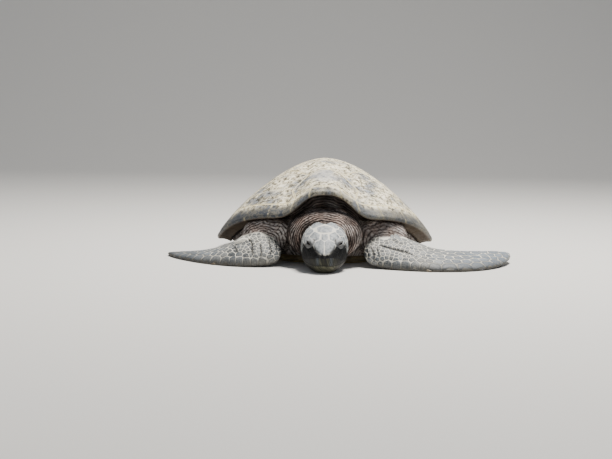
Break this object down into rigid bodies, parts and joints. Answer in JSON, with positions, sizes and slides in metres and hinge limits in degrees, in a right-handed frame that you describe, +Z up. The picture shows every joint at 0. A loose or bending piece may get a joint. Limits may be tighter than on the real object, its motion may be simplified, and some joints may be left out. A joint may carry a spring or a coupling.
{
  "type": "sea turtle",
  "caption": "Life-size green sea turtle lying at rest with its head down and flippers spread; a still model of separate scutes, limbs, beak, claws and eyes.",
  "frame": {"origin": "on the floor under the middle of the shell, in the flat underside of the plastron", "axes": "+Z up from the floor, -Y the way the animal faces, +X its left side"},
  "size_m": [1.0511, 1.1806, 0.3016],
  "materials": {
    "shell_horn": "dry sun-bleached horn, mottled cream and grey, matt",
    "plastron_horn": "smooth cream-yellow horn, worn matt",
    "skin": "wrinkled mauve-brown skin, dry and matt",
    "scaled_skin": "grey scales with pale seams, low sheen",
    "beak_horn": "dark olive horn with pale streaks, satin",
    "claw_horn": "dark horn, satin",
    "eye": "wet and glossy, near black"
  },
  "bodies": {
    "root": {"vertebral_scute_1": "shell_horn", "vertebral_scute_2": "shell_horn", "vertebral_scute_3": "shell_horn", "vertebral_scute_4": "shell_horn", "vertebral_scute_5": "shell_horn", "costal_scute_left_1": "shell_horn", "costal_scute_left_2": "shell_horn", "costal_scute_left_3": "shell_horn", "costal_scute_left_4": "shell_horn", "costal_scute_right_1": "shell_horn", "costal_scute_right_2": "shell_horn", "costal_scute_right_3": "shell_horn", "costal_scute_right_4": "shell_horn", "nuchal_scute": "shell_horn", "marginal_scute_left_1": "shell_horn", "marginal_scute_left_2": "shell_horn", "marginal_scute_left_3": "shell_horn", "marginal_scute_left_4": "shell_horn", "marginal_scute_left_5": "shell_horn", "marginal_scute_left_6": "shell_horn", "marginal_scute_left_7": "shell_horn", "marginal_scute_left_8": "shell_horn", "marginal_scute_left_9": "shell_horn", "marginal_scute_left_10": "shell_horn", "marginal_scute_left_11": "shell_horn", "supracaudal_scute_left": "shell_horn", "marginal_scute_right_1": "shell_horn", "marginal_scute_right_2": "shell_horn", "marginal_scute_right_3": "shell_horn", "marginal_scute_right_4": "shell_horn", "marginal_scute_right_5": "shell_horn", "marginal_scute_right_6": "shell_horn", "marginal_scute_right_7": "shell_horn", "marginal_scute_right_8": "shell_horn", "marginal_scute_right_9": "shell_horn", "marginal_scute_right_10": "shell_horn", "marginal_scute_right_11": "shell_horn", "supracaudal_scute_right": "shell_horn", "plastron": "plastron_horn", "trunk": "skin", "eye_left": "eye", "eye_right": "eye", "head": "scaled_skin", "upper_beak": "beak_horn", "lower_jaw": "beak_horn", "neck": "skin", "upper_arm_left": "skin", "front_flipper_left": "scaled_skin", "front_claw_left": "claw_horn", "thigh_left": "skin", "hind_flipper_left": "scaled_skin", "hind_claw_left": "claw_horn", "upper_arm_right": "skin", "front_flipper_right": "scaled_skin", "front_claw_right": "claw_horn", "thigh_right": "skin", "hind_flipper_right": "scaled_skin", "hind_claw_right": "claw_horn", "tail": "skin"}
  },
  "joints": []
}
